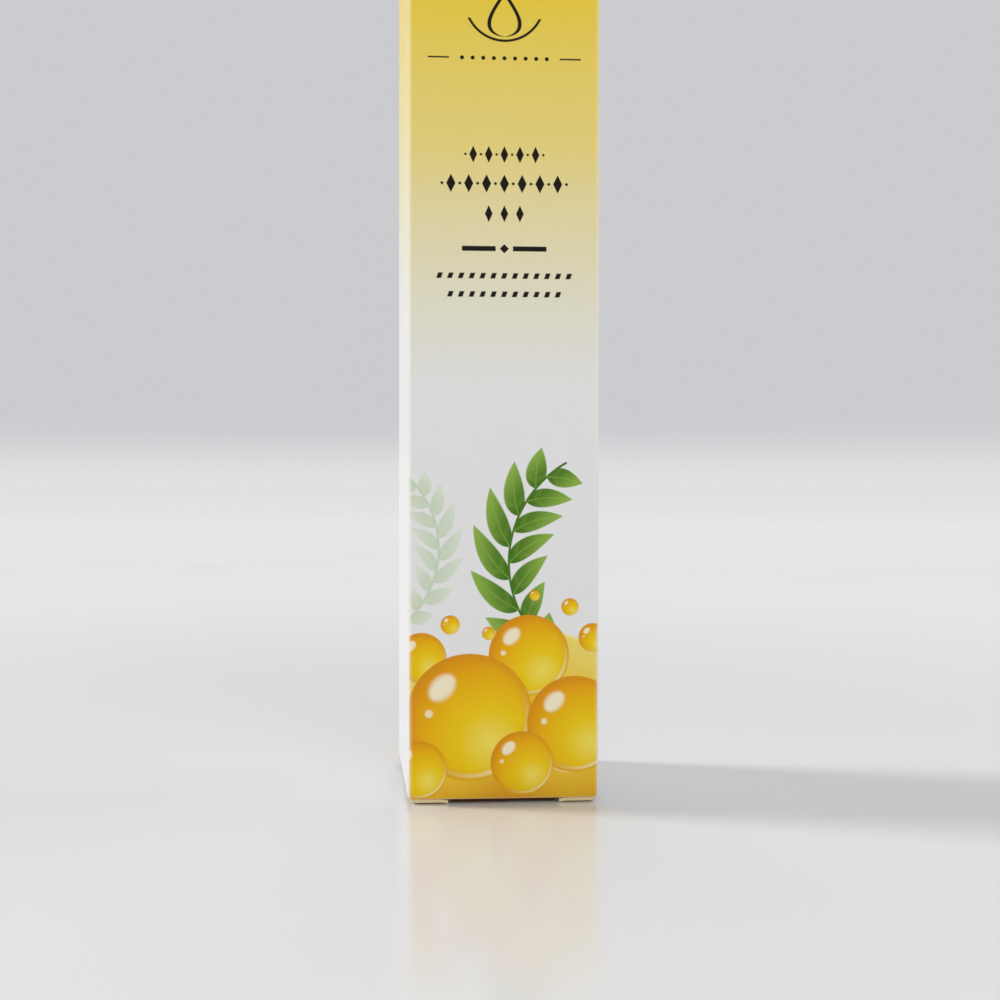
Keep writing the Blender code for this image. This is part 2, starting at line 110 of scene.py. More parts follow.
def addNode(tree, kind, feeds, output=0, **settings):
    node = tree.nodes.new(kind)
    for name, value in settings.items():
        setattr(node, name, value)
    for key, value in feeds.items() if isinstance(feeds, dict) else enumerate(feeds):
        feed(tree, node.inputs[key], value)
    return Value(tree, node.outputs[output])


def rise(value, start, end):
    # a smooth step from 0 at start to 1 at end
    feeds = {"Value": value, "From Min": start, "From Max": end}
    return addNode(value.tree, "ShaderNodeMapRange", feeds, interpolation_type="SMOOTHSTEP")


def mix(factor, first, second):
    # the first colour where the factor is 0, the second where it is 1
    feeds = {0: factor, 6: first, 7: second}
    return addNode(factor.tree, "ShaderNodeMix", feeds, output=2, data_type="RGBA")


def ramp(value, stops):
    # a colour ramp through its stops, each a place and a colour
    node = value.tree.nodes.new("ShaderNodeValToRGB")
    wire(value, node, 0)
    band = node.color_ramp.elements
    while len(band) < len(stops):
        band.new(0.5)
    for element, (place, colour) in zip(band, stops):
        element.position = place
        element.color = (*colour, 1.0)
    return Value(value.tree, node.outputs[0])


def noise(place, scale, detail=2.0, roughness=0.5):
    feeds = {"Vector": place, "Scale": scale, "Detail": detail, "Roughness": roughness}
    return addNode(place.tree, "ShaderNodeTexNoise", feeds)


def objectPlace(tree, stretch=(1.0, 1.0, 1.0)):
    # the piece's own coordinates in millimetres, stretched along an axis where a grain needs it
    place = addNode(tree, "ShaderNodeTexCoord", [], output=3)
    return addNode(tree, "ShaderNodeMapping", {"Vector": place, "Scale": tuple(s / mm for s in stretch)})


def distanceTo(place, point):
    return addNode(place.tree, "ShaderNodeVectorMath", [place, point], output=1, operation="DISTANCE")


def xyz(vector):
    # a vector's three parts
    node = vector.tree.nodes.new("ShaderNodeSeparateXYZ")
    wire(vector, node, 0)
    return [Value(vector.tree, output) for output in node.outputs]


def wire(value, node, socket):
    value.tree.links.new(value.socket, node.inputs[socket])


def newMaterial(name, **sockets):
    # what is the same all over the piece goes straight onto the shader's sockets
    material = bpy.data.materials.new(name)
    material.use_nodes = True
    shader = material.node_tree.nodes["Principled BSDF"]
    for socket, value in sockets.items():
        feed(material.node_tree, shader.inputs[socket.replace("_", " ")], value)
    return material, material.node_tree, shader


def addRelief(shader, height, distance):
    # relief of this height field, with its full height in metres
    bump = addNode(height.tree, "ShaderNodeBump", {"Height": height, "Distance": distance, "Strength": 1.0})
    wire(bump, shader, "Normal")


def darker(tone, share):
    return tuple(share * part for part in tone)


def grained(name, tones, grain, stretch=(1.0, 1.0, 1.0), soft=None, relief=None, **sockets):
    # a material whose colour drifts between two tones along a grain of this scale, detail and roughness
    material, tree, shader = newMaterial(name, **sockets)
    lines = noise(objectPlace(tree, stretch), *grain)
    wire(mix(rise(lines, *soft) if soft else lines, *tones), shader, "Base Color")
    if relief:
        addRelief(shader, lines, relief)
    return material, shader, lines


# helpers for meshes
def newPiece(name, data):
    piece = bpy.data.objects.new(name, data)
    bpy.context.scene.collection.objects.link(piece)
    return piece


def meshOf(name, points, quads, extraFaces=(), slots=None, sheet=None, sharp=40.0):
    # points is (n, 3), quads is (m, 4); the shell is turned outwards if its volume comes out negative
    faces = [tuple(face) for face in quads.tolist()] + [tuple(face) for face in extraFaces]
    corner = points[quads]
    volume = np.einsum("ij,ij->", corner[:, 0], np.cross(corner[:, 1], corner[:, 2]))
    volume += np.einsum("ij,ij->", corner[:, 0], np.cross(corner[:, 2], corner[:, 3]))
    for face in extraFaces:
        fan = points[list(face)]
        volume += np.einsum("ij,ij->", np.repeat(fan[:1], len(fan) - 2, 0), np.cross(fan[1:-1], fan[2:]))
    if volume < 0:
        faces = [face[::-1] for face in faces]
    mesh = bpy.data.meshes.new(name)
    mesh.from_pydata(points.tolist(), [], faces)
    if slots is not None:
        mesh.polygons.foreach_set("material_index", np.asarray(slots, dtype=np.int32))
    if sheet is not None:
        loops = np.empty(len(mesh.loops), dtype=np.int32)
        mesh.loops.foreach_get("vertex_index", loops)
        layer = mesh.uv_layers.new(name="sheet")
        layer.uv.foreach_set("vector", sheet[loops].astype(np.float32).ravel())
    mesh.shade_smooth()
    mesh.set_sharp_from_angle(angle=math.radians(sharp))
    mesh.update()
    return newPiece(name, mesh)


def fit(piece, body, node, materials):
    for material in materials:
        piece.data.materials.append(material)
    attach(piece, body)
    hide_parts(node)


# camera
cameraView = {
    "place": (-16.57 * mm, -134.84 * mm, 33.06 * mm),
    "turnRight": 3.59,  # degrees
    "tiltDown": 0.70,
    "lens": 43.67,
    "shift": 0.08,  # the photograph faces the front nearly squarely, and yet it shows the left wall
}
cameraData = bpy.data.cameras.new("camera")
cameraData.lens = cameraView["lens"]
cameraData.sensor_width = 36.0
cameraData.shift_x = cameraView["shift"]
cameraData.clip_start = 1 * mm
camera = newPiece("camera", cameraData)
camera.location = cameraView["place"]
tilt, turn = 90 - cameraView["tiltDown"], -cameraView["turnRight"]
camera.rotation_euler = (math.radians(tilt), 0.0, math.radians(turn))
bpy.context.scene.camera = camera
bpy.context.scene.view_settings.view_transform = "Standard"


# the carton's board
carton = lengths(
    board=0.35,
    creaseRadius=0.6,
    foldRoom=0.02,  # between a wall's end and the fold that it hugs
    cutRound=0.08,  # rounding of the cut edges
    pairGap=0.03,  # between the two columns at a step in the board's outline
    wallBow=0.07,  # how far each wall draws in at its middle
    frontWallDepth=0.52,
    cornerDepth=0.72,  # the die trims the side walls' ends back beside the front
    rearCornerDepth=0.77,  # and the rear corner beside the lid's fold
    lidAxisDepth=0.35,
    dustAxisDepth=1.0,
    sideFrontY=-6.45,
    sideRearY=8.75,
    glueLapRoom=0.1,
    glueFlapLength=8.0,
    glueFlapEndDepth=4.65,
    glueFlapTaper=3.75,
)
hugRounding = 0.3  # how much of the cut edges' rounding an end has where it hugs a fold
# how many steps each stretch of the board has in its meshes
steps = {"crease": 8, "cut": 8, "wall": 14, "height": 40, "panel": 24, "bead": 16}
columnCounts = {"lid": 31, "tuck": 31, "dust": 41}
half = round(cadBox[1][0], 6)  # half of the carton's width and depth, from the frame
height = round(cadBox[1][2], 6)
board = carton["board"]
flatHalf = half - carton["creaseRadius"]  # half of a wall's flat stretch
panelPitch = 2 * flatHalf + math.pi / 2 * carton["creaseRadius"]  # between two walls' middles, on the sheet
flapX = half - board - carton["glueLapRoom"]  # the glue flap's outer face
onFace = 0.0001 * mm  # a point that is nearer than this to a face lies on it
printedFace, rawFace, cutFace = 0, 1, 2  # the board's finishes, as material slots


def endCurve(edge, hugging):
    # the board's cut end, from its outer to its inner face. A plain end draws back at both faces by a
    # quarter circle, r - sqrt(r^2 - t^2), with t from 0 to r at the face. One that hugs a fold follows a
    # circle about its axis: edge - sqrt(R^2 - (distance from the axis)^2)
    share = (1 - np.cos(np.linspace(0, np.pi, steps["cut"] + 1))) / 2
    rounding = carton["cutRound"]
    corner = np.clip(rounding - np.minimum(share, 1 - share) * board, 0, rounding)
    bevel = rounding - np.sqrt(rounding**2 - corner**2)
    reach = board + carton["foldRoom"]
    circle = np.sqrt(reach**2 - (board * (1 - share)) ** 2)
    hugged = edge[:, None] - circle - hugRounding * bevel
    along = np.where(hugging[:, None], hugged, edge[:, None] - bevel)
    return along, np.broadcast_to(share * board, along.shape)


def sleevePath():
    # the wrap seen from above: right, front, left and back wall and the glue flap, with round creases.
    # It gives each column's x and y, its inward normal and its place on the flat sheet
    radius = carton["creaseRadius"]
    share = np.linspace(0, 1, steps["wall"] + 1)

    def wall(start, end):
        return np.array(start) + share[:, None] * (np.array(end) - np.array(start))

    def crease(x, y, start):
        # a quarter circle about (x, y) that turns right, without its two ends, which the walls have
        angle = np.radians(np.linspace(start, start - 90, steps["crease"] + 1))[1:-1]
        return np.stack([x + radius * np.cos(angle), y + radius * np.sin(angle)], 1)

    flapEnd = half - carton["glueFlapLength"]
    stretches = [
        wall((half, half - board), (half, -flatHalf)),
        crease(flatHalf, -flatHalf, 0),
        wall((flatHalf, -half), (-flatHalf, -half)),
        crease(-flatHalf, -flatHalf, -90),
        wall((-half, -flatHalf), (-half, flatHalf)),
        crease(-flatHalf, flatHalf, 180),
        wall((-flatHalf, half), (flapX - radius, half)),
        crease(flapX - radius, flatHalf, 90),
        wall((flapX, flatHalf), (flapX, flapEnd)),
    ]
    path = np.concatenate(stretches)
    # the side walls step down beside the dust flaps, so their columns come in close pairs there.
    # The wrap runs towards -Y on the right wall and towards +Y on the left one
    gap = carton["pairGap"] / 2
    for y in (carton["sideFrontY"], carton["sideRearY"]):
        for place in (y - gap, y + gap):
            for x, way in ((half, -1), (-half, 1)):
                rows = np.nonzero(np.abs(path[:, 0] - x) < onFace)[0]
                at = rows[0] + np.searchsorted(way * path[rows, 1], way * place)
                path = np.insert(path, at, (x, place), axis=0)
    # one more column beside each upright cut edge, where its rounding starts
    path = np.insert(path, 1, (half, half - board - carton["cutRound"]), axis=0)
    path = np.insert(path, -1, (flapX, flapEnd + carton["cutRound"]), axis=0)
    along = np.gradient(path, axis=0)
    along /= np.linalg.norm(along, axis=1)[:, None]
    normal = np.stack([along[:, 1], -along[:, 0]], 1)
    place = np.concatenate([[0], np.cumsum(np.linalg.norm(np.diff(path, axis=0), axis=1))])
    front = (np.abs(path[:, 1] + half) < onFace) & (np.abs(path[:, 0]) <= flatHalf)
    middle = (place[front][0] + place[front][-1]) / 2
    return path, normal, middle - place


def makeSleeve(materials):
    # the vertical section of the board, carried along the wrap: point = path + depth x inward normal
    path, normal, sheetPlace = sleevePath()
    x, y = path.T
    onSide = np.abs(np.abs(x) - half) < onFace
    onFlap = (np.abs(x - flapX) < onFace) & (y < flatHalf + onFace)
    onBack = (np.abs(np.abs(y) - half) < onFace) & ~onSide  # or on the front
    sideways = onSide | onFlap
    # the normals are exact on the walls, since a gradient leans at each crease's ends
    normal[sideways] = np.stack([-np.sign(x[sideways]), 0 * x[sideways]], 1)
    normal[onBack] = np.stack([0 * x[onBack], -np.sign(y[onBack])], 1)
    besideDust = onSide & (y > carton["sideFrontY"]) & (y < carton["sideRearY"])
    backWall = onBack & (y > 0)
    # at each front corner the wall's end rises by a quarter circle: 1 - sqrt(1 - q^2), q across the crease
    q = np.clip((np.abs(x) - half) / carton["creaseRadius"] + 1, 0, 1)
    rising = np.where(y < 0, 1 - np.sqrt(1 - q**2), 0)
    depth = carton["frontWallDepth"] + rising * (carton["cornerDepth"] - carton["frontWallDepth"])
    rearCorner = (y > flatHalf + onFace) & (x < -flatHalf - onFace) & ~onSide
    depth[rearCorner] = carton["rearCornerDepth"]
    depth[besideDust] = carton["dustAxisDepth"]
    depth[backWall] = carton["lidAxisDepth"]
    flapStart = np.nonzero(backWall)[0][-1] + 1
    taper = np.clip(1 - (half - y[flapStart:]) / carton["glueFlapLength"], 0, 1)
    depth[flapStart:] = carton["glueFlapEndDepth"] - carton["glueFlapTaper"] * taper
    endAlong, endDepth = endCurve(-depth, besideDust | backWall)  # inwards from the end plane is negative
    topZ = height + endAlong
    lowZ = -endAlong
    rows = np.linspace(0, 1, steps["height"] + 1)[1:-1]
    outerZ = lowZ[:, :1] + rows * (topZ[:, :1] - lowZ[:, :1])
    innerZ = lowZ[:, -1:] + rows * (topZ[:, -1:] - lowZ[:, -1:])
    z = np.concatenate([outerZ, topZ, innerZ[:, ::-1], lowZ[:, ::-1]], 1)
    inwards = np.concatenate([0 * outerZ, endDepth, 0 * innerZ + board, endDepth[:, ::-1]], 1)
    rim = np.zeros(len(path))  # the two upright cut edges are a little rounded too
    rim[[0, -1]] = carton["cutRound"]
    inwards = np.clip(inwards, rim[:, None], board - rim[:, None])
    across = np.where(sideways, path[:, 1], path[:, 0]) / half
    bow = carton["wallBow"] * np.clip(1 - across**2, 0, 1)[:, None] * np.sin(np.pi * z / height)
    inwards = inwards + np.where((sideways | onBack)[:, None], bow, 0)
    flat = path[:, None] + normal[:, None] * inwards[:, :, None]
    points = np.concatenate([flat, z[:, :, None]], 2)
    sheet = np.stack([np.broadcast_to(sheetPlace[:, None] / mm, z.shape), z / mm], 2)
    # a face between two rows of the ring takes the finish of the row that it starts from
    walls, ends = len(rows), endAlong.shape[1] - 1
    finishes = [printedFace] * walls + [cutFace] * ends + [rawFace] * (walls + 1) + [cutFace] * ends
    piece = loft("carton_board", points, sheet, finishes + [printedFace])
    fit(piece, "carton", "carton_sleeve", materials)


def loft(name, points, sheet, finishes):
    # rings of the same section joined from column to column, with a cap at each end
    columns, ring = points.shape[:2]
    index = np.arange(columns * ring).reshape(columns, ring)
    following = np.roll(index, -1, axis=1)
    quads = np.stack([index[:-1], index[1:], following[1:], following[:-1]], 2).reshape(-1, 4)
    caps = [index[0].tolist(), index[-1][::-1].tolist()]
    slots = np.concatenate([np.tile(finishes, columns - 1), [cutFace, cutFace]])
    return meshOf(name, points.reshape(-1, 3), quads, caps, slots, sheet.reshape(-1, 2))


def makePanel(name, columns, ends, place, starts=0.0, folded=True, hugging=False):
    # a flat board whose fold is a round bead. Its section lies in (along, depth), with along measured
    # from the fold's axis and depth from the outer face; place(across, along, depth) puts it in the carton
    starts, folded, hugging = (np.broadcast_to(value, columns.shape) for value in (starts, folded, hugging))
    rim = np.zeros(len(columns))
    rim[[0, -1]] = carton["cutRound"]
    tipAlong, tipDepth = endCurve(ends - rim, hugging)
    share = np.linspace(0, 1, steps["panel"])
    outerStart = np.where(folded, 0.0, starts)
    innerStart = np.where(folded, board, starts)
    outer = outerStart[:, None] + share[:-1] * (tipAlong[:, :1] - outerStart[:, None])
    inner = innerStart[:, None] + share[:-1] * (tipAlong[:, -1:] - innerStart[:, None])
    angle = np.radians(np.linspace(0, -270, steps["bead"] + 1))[1:-1]
    cutShare = np.linspace(1, 0, steps["bead"] + 1)[1:-1]
    rootAlong = np.where(folded[:, None], board * np.cos(angle), starts[:, None] + 0 * cutShare)
    rootDepth = np.where(folded[:, None], board - board * np.sin(angle), cutShare * board)
    along = np.concatenate([outer, tipAlong, inner[:, ::-1], rootAlong], 1)
    flatDepth = np.concatenate([0 * outer, tipDepth, 0 * inner + board], 1)
    flatDepth = np.clip(flatDepth, rim[:, None], board - rim[:, None])
    depth = np.concatenate([flatDepth, rootDepth], 1)
    across = np.broadcast_to(columns[:, None], along.shape)
    points = np.stack(place(across, along, depth), 2)
    sheet = np.stack([across / mm, along / mm], 2)
    finishes = [printedFace] * (steps["panel"] - 1) + [cutFace] * (tipAlong.shape[1] - 1)
    finishes += [rawFace] * steps["panel"] + [printedFace] * (steps["bead"] - 1)
    return loft(name, points, sheet, finishes)


def panelColumns(low, high, count, pairs, more=()):
    # evenly spaced columns, a close pair at each place in pairs, and one at each place in more
    gap = carton["pairGap"] / 2
    beside = [place + way * gap for place in pairs for way in (-1, 1)]
    columns = np.concatenate([np.linspace(low, high, count), beside, np.ravel(more)])
    return np.unique(np.round(columns, 9))


def roundedEnd(columns, length, halfWidth, radius):
    # a panel's length at each column, shortened by a quarter circle at both corners
    over = np.clip(np.abs(columns) - (halfWidth - radius), 0, radius)
    return length - radius + np.sqrt(radius**2 - over**2)


def endPlane(end):
    # height of the carton's end plane, and which way is inwards from it
    return (height, -1) if end == "top" else (0.0, 1)


lid = lengths(
    halfWidth=9.55,
    axisY=9.65,
    length=19.6,
    notchHalfWidth=5.8,
    corner=0.5,
    shoulderLift=0.145,  # the shoulders spring up from the surface that the carton stands on
    shoulderLiftLength=6.6,
    shoulderLiftEase=1.1,  # over this width beside the tongue
)


def makeLid(end, materials):
    level, inwards = endPlane(end)
    width, notch = lid["halfWidth"], lid["notchHalfWidth"]
    rims = [width - carton["cutRound"], *(width - np.linspace(0, 1, 7) * lid["corner"])]
    columns = panelColumns(-width, width, columnCounts["lid"], (-notch, notch), np.outer((-1, 1), rims))
    notched = np.abs(columns) < notch
    rounded = roundedEnd(columns, lid["length"], width, lid["corner"])
    ends = np.where(notched, lid["axisY"] - tuck["axisY"], rounded)

    def place(across, along, depth):
        # the shoulders' lift is share^2 along them, eased in beside the tongue by 3 b^2 - 2 b^3
        rising = np.clip((along - lid["length"]) / lid["shoulderLiftLength"] + 1, 0, 1) ** 2
        beside = np.clip((np.abs(across) - tuck["foldHalfWidth"]) / lid["shoulderLiftEase"], 0, 1)
        lift = lid["shoulderLift"] * rising * beside * beside * (3 - 2 * beside)
        return across, lid["axisY"] - along, level + inwards * (depth + lift)

    piece = makePanel(f"{end}_lid_board", columns, ends, place, hugging=notched)
    fit(piece, f"{end}_lid", f"{end}_lid", materials)


tuck = lengths(
    halfWidth=9.3,
    axisY=-8.9,
    length=8.65,  # from the fold's axis
    corner=3.0,
    foldHalfWidth=5.5,
    earStart=1.35,  # the ears stay clear of the shoulders when the tongue folds in
    collar=0.045,  # the slit's narrow step beside the fold
)


def makeTuck(end, materials):
    level, inwards = endPlane(end)
    width, fold, collar = tuck["halfWidth"], tuck["foldHalfWidth"], tuck["collar"]
    corner = (1 - np.cos(np.linspace(0, np.pi / 2, 13))) * tuck["corner"]
    rims = [width - carton["cutRound"], fold + collar, *(width - corner)]
    columns = panelColumns(-width, width, columnCounts["tuck"], (-fold, fold), np.outer((-1, 1), rims))
    ends = roundedEnd(columns, tuck["length"], width, tuck["corner"])
    folded = np.abs(columns) < fold
    onCollar = np.abs(columns) < fold + collar / 2
    starts = np.where(folded, 0.0, np.where(onCollar, board, tuck["earStart"]))

    def place(across, along, depth):
        return across, tuck["axisY"] - board + depth, level + inwards * (board + along)

    piece = makePanel(f"{end}_tuck_board", columns, ends, place, starts, folded)
    fit(piece, f"{end}_tuck", f"{end}_tuck_flap", materials)


dust = lengths(axisX=9.65, length=8.8, rearY=8.45, frontY=-6.15, endLength=0.455)
rearTaper, frontTaper = 0.55, 0.35  # how far each side draws in, as a share of the way from the fold


def makeDust(end, side, materials):
    level, inwards = endPlane(end)
    sign = -1 if side == "left" else 1
    rear, front, rounding = dust["rearY"], dust["frontY"], carton["cutRound"]
    columns = panelColumns(front, rear, columnCounts["dust"], (front + rounding, rear - rounding))
    reach = np.minimum((rear - columns) / rearTaper, (columns - front) / frontTaper)
    ends = np.clip(reach, dust["endLength"], dust["length"])

    def place(across, along, depth):
        inside = carton["dustAxisDepth"] - board + depth
        return sign * (dust["axisX"] - along), across, level + inwards * inside

    piece = makePanel(f"{end}_dust_board_{side}", columns, ends, place)
    fit(piece, f"{end}_dust_{side}", f"{end}_dust_flap_{side}", materials)


# finishes of the board
boardFinish = {
    "paper": (0.86, 0.86, 0.855),
    "cream": (0.88, 0.80, 0.60),
    "cutEdge": (0.84, 0.69, 0.40),
    "inside": (0.76, 0.74, 0.69),
    "insideFleck": (0.55, 0.50, 0.42),
    "handling": (0.70, 0.66, 0.58),
    "ink": (0.010, 0.006, 0.004),
    "greyInk": (0.42, 0.42, 0.40),
    "printRoughness": 0.36,
    "peelHeight": 0.008 * mm,
    "fibreHeight": 0.03 * mm,
    "plyHeight": 0.02 * mm,
    "creaseWearAndHighlight": (0.46, 0.06),  # mm from a fold's middle: where its wear and painted highlight start, and where they are full
}
# the wash of colour behind the print: share of the carton's height, colour
wash = [
    (0.0, (0.86, 0.86, 0.86)),
    (0.345, (0.86, 0.86, 0.86)),
    (0.42, (0.845, 0.815, 0.63)),
    (0.544, (0.87, 0.715, 0.235)),
    (0.67, (0.87, 0.635, 0.052)),
    (0.80, (0.85, 0.57, 0.040)),
    (1.0, (0.81, 0.50, 0.028)),
]
# golden drops of oil: across, up and radius in mm, the furthest first
oilDrops = [
    (9.3, 17.2, 1.5),
    (-8.6, 15.2, 2.6),
    (2.6, 15.4, 4.2),
    (-3.6, 9.0, 6.6),
    (7.4, 8.2, 5.0),
    (1.9, 4.2, 3.3),
    (-8.9, 3.6, 3.0),
    (-5.6, 18.6, 1.0),
    (6.9, 20.4, 0.9),
    (-1.6, 17.7, 0.7),
    (3.2, 21.6, 0.55),
]
dropFinish = {
    "body": [
        (0.0, (0.93, 0.77, 0.12)),
        (0.30, (0.89, 0.62, 0.008)),
        (0.62, (0.86, 0.47, 0.003)),
        (0.85, (0.80, 0.33, 0.003)),
        (1.0, (0.70, 0.24, 0.003)),
    ],
    "rim": (0.70, 0.30, 0.012),
    "hairline": (1.0, 0.93, 0.55),
    "highlight": (1.0, 0.96, 0.74),
    # places across and up from the drop's middle, in its radii
    "gather": (0.34, -0.40),
    "glintEnds": [(-0.56, 0.34), (-0.30, 0.60)],
    "spark": (-0.64, 0.06),
}
# sprigs of small leaves: the stem's circle, which side it bulges to, and the leaves' sizes, in mm
sprigs = [
    {
        "centre": (-17.0, 26.5), "radius": 10.2, "side": 1, "reach": 8.0,
        "leaf": 4.0, "width": 0.74, "pitch": 2.3, "lastCell": 3,
        "dark": (0.56, 0.70, 0.47), "light": (0.74, 0.82, 0.64), "strength": 0.75,
    },
    {
        "centre": (12.5, 25.0), "radius": 12.0, "side": -1, "reach": 12.0,
        "leaf": 6.4, "width": 1.12, "pitch": 3.35, "lastCell": 3,
        "dark": (0.065, 0.19, 0.012), "light": (0.30, 0.49, 0.075), "strength": 1.0,
    },
]
leafLean = math.radians(42)  # from the stem
stemWidth = 0.24
# three swells of oil behind the drops: level, swing, wave number and start in mm, and their tones
swells = [
    (15.6, 2.3, 0.26, 0.4, (0.90, 0.72, 0.16), (0.86, 0.56, 0.03)),
    (10.2, 1.9, 0.37, 2.9, (0.88, 0.62, 0.06), (0.80, 0.42, 0.014)),
    (4.6, 1.2, 0.52, 1.2, (0.86, 0.54, 0.03), (0.72, 0.29, 0.012)),
]
swellCrest = (0.97, 0.88, 0.50)
# the ornament in ink, in mm. The functions in ornamentInk name what each row's numbers are
ornament = {
    "drop": [(81.95, 2.65, 1.42, 0.06, 0.46)],
    "arc": [(83.0, 4.1, 0.26, 81.2)],
    "dots": [(77.1, 1.1, 0.21, 4), (67.2, 0.81, 0.13, 5), (64.2, 0.925, 0.15, 7)],
    "lozenges": [
        (67.2, 1.62, 0.42, 0.92, 2),
        (64.2, 1.85, 0.50, 1.0, 3),
        (61.1, 1.62, 0.42, 0.92, 1),
        (57.5, 1.0, 0.5, 0.5, 0),
    ],
    "dashes": [(54.7, 1.12, 0.50, 0.58, 6), (52.8, 1.12, 0.50, 0.58, 5)],
    "rules": [(77.1, 0.16, 5.75, 7.95), (57.5, 0.52, 0.9, 4.4)],
}
dashSlant = 0.35
# what the side panels have in place of the front's design, in mm: a wash that starts higher up and is a
# little paler, and three faint hairlines up the middle
sideWash = {"lift": 7.0, "fade": 0.12}
sideLines = {"step": 1.3, "width": 0.12, "reach": 1.9, "middle": 28.0, "halfHeight": 8.0, "strength": 0.45}


def stroke(distance, width):
    # an inked line where the distance is under half its width
    return abs(distance).below(width / 2, 0.045)


def within(value, limit):
    return abs(value).below(limit, 0.05)


def ornamentInk(u, v):
    # 1 where there is ink. A row has its middle mark and, on each side, as many more as its reach says
    def nearest(value, pitch, reach):
        # the distance to the nearest whole multiple of the pitch, and 1 up to the last mark of the row
        cell = (value / pitch).math("ROUND")
        return value - cell * pitch, within(cell, reach + 0.5)

    def dots(level, pitch, radius, reach):
        across, kept = nearest(u, pitch, reach)
        return ((across**2.0 + (v - level) ** 2.0) ** 0.5).below(radius, 0.05) * kept

    def lozenges(level, pitch, halfWidth, halfHeight, reach):
        across, kept = nearest(u, pitch, reach)
        return (abs(across) / halfWidth + abs(v - level) / halfHeight).below(0.95, 0.05) * kept

    def dashes(level, pitch, width, height, reach):
        across, kept = nearest(u - (v - level) * dashSlant, pitch, reach)
        return within(across, width / 2) * within(v - level, height / 2) * kept

    def rules(level, width, start, end):
        return stroke(v - level, width) * abs(u).above(start, 0.03) * within(u, end)

    def drop(middle, halfHeight, width, lineStart, lineEnd):
        # half width = width (1 - q) sqrt(1 - q^2), with q from -1 at its foot to 1 at its tip; the ink is a
        # line that starts and ends this far inside that outline
        q = ((v - middle) / halfHeight).math("MINIMUM", 1.0).math("MAXIMUM", -1.0)
        edge = abs(u) - (1.0 - q) * ((1.0 - q * q) ** 0.5) * width
        return edge.below(-lineStart, 0.05) * (1.0 - edge.below(-lineEnd, 0.05))

    def arc(middle, radius, width, top):
        return stroke((u**2.0 + (v - middle) ** 2.0) ** 0.5 - radius, width) * v.below(top, 0.05)

    kinds = (drop, arc, dots, lozenges, dashes, rules)
    marks = [draw(*row) for draw in kinds for row in ornament[draw.__name__]]
    ink = marks[0]
    for mark in marks[1:]:
        ink = ink.math("MAXIMUM", mark)
    return ink


def paintSprig(colour, u, v, sprig):
    # leaves set along a round stem: s runs along the stem, m away from it, and each leaf leans
    centreU, centreV = sprig["centre"]
    sine, cosine = math.sin(leafLean), math.cos(leafLean)
    du = (u - centreU) * float(sprig["side"])
    dv = v - centreV
    away = (du**2.0 + dv**2.0) ** 0.5 - sprig["radius"]
    s = dv.math("ARCTAN2", du) * sprig["radius"]
    m = abs(away)
    shifted = s + away.above(0.0, 0.001) * (sprig["pitch"] / 2)  # the leaves alternate
    cell = ((shifted - m / math.tan(leafLean)) / sprig["pitch"]).math("ROUND")
    local = shifted - cell * sprig["pitch"]
    length = (1.0 - (cell * (sprig["pitch"] / sprig["reach"])) ** 2.0 * 0.5) * sprig["leaf"]
    along = (local * cosine + m * sine) / length
    across = (m * cosine - local * sine) / sprig["width"]
    bounded = along.math("MINIMUM", 1.0).math("MAXIMUM", 0.0)
    width = (bounded**0.6) * (1.0 - bounded) * 2.88  # fullest at three eighths of its length, then pointed
    leaf = (abs(across) - width).below(-0.07, 0.06) * within(cell, sprig["lastCell"] + 0.5)
    stem = stroke(away, stemWidth) * within(s + 1.0, sprig["reach"] + 1.6)
    green = mix(rise(bounded + across * 0.22, 0.05, 1.05), sprig["dark"], sprig["light"])
    ribs = rise((along * 9.0 - abs(across) * 1.6).math("SINE"), 0.75, 1.0) * 0.16
    veins = (abs(across).below(0.05, 0.05) * 0.55).math("MAXIMUM", ribs)
    green = mix(veins, green, sprig["light"])
    colour = mix(stem * sprig["strength"], colour, sprig["dark"])
    return mix(leaf * sprig["strength"], colour, green)


def paintSwell(colour, u, v, swell):
    # a swell of oil under the line level + swing sin(k u + start), lighter at its crest, with a bright edge
    level, swing, wave, start, light, deep = swell
    below = (u * wave + start).math("SINE") * swing + level - v
    tone = mix(rise(below, 0.0, 7.5), light, deep)
    tone = mix(below.below(0.22, 0.16) * 0.6, tone, swellCrest)
    return mix(below.above(0.0, 0.06), colour, tone)


def paintDrop(colour, place, drop):
    # a round drop lit from the upper left: amber on that side, glowing where the light gathers at the
    # lower right, with a darker rim, a bright hairline inside it and two highlights
    x, z, radius = drop

    def awayFrom(across, up):
        # the distance from a point that is given in the drop's radii from its middle
        return distanceTo(place, (x + across * radius, z + up * radius, 0.0))

    away = awayFrom(0.0, 0.0) / radius
    gather = awayFrom(*dropFinish["gather"]) / (1.62 * radius)
    body = ramp(gather, dropFinish["body"])
    body = mix(rise(away, 0.80, 1.0) * 0.55, body, dropFinish["rim"])
    hairline = away.above(0.90, 0.035) * away.below(0.955, 0.03) * rise(gather, 0.62, 0.1)
    body = mix(hairline * 0.9, body, dropFinish["hairline"])
    first, second = (awayFrom(*end) for end in dropFinish["glintEnds"])
    glint = rise((first + second) / radius, 0.58, 0.40)
    body = mix(glint * 0.85, body, dropFinish["highlight"])
    spark = rise(awayFrom(*dropFinish["spark"]) / radius, 0.085, 0.04)
    body = mix(spark * 0.7, body, dropFinish["highlight"])
    return mix(away.below(1.0, 0.06 / radius), colour, body)


def sheetPlace(tree):
    # the place across and up the flat sheet, in mm
    return xyz(addNode(tree, "ShaderNodeUVMap", [], uv_map="sheet"))[:2]


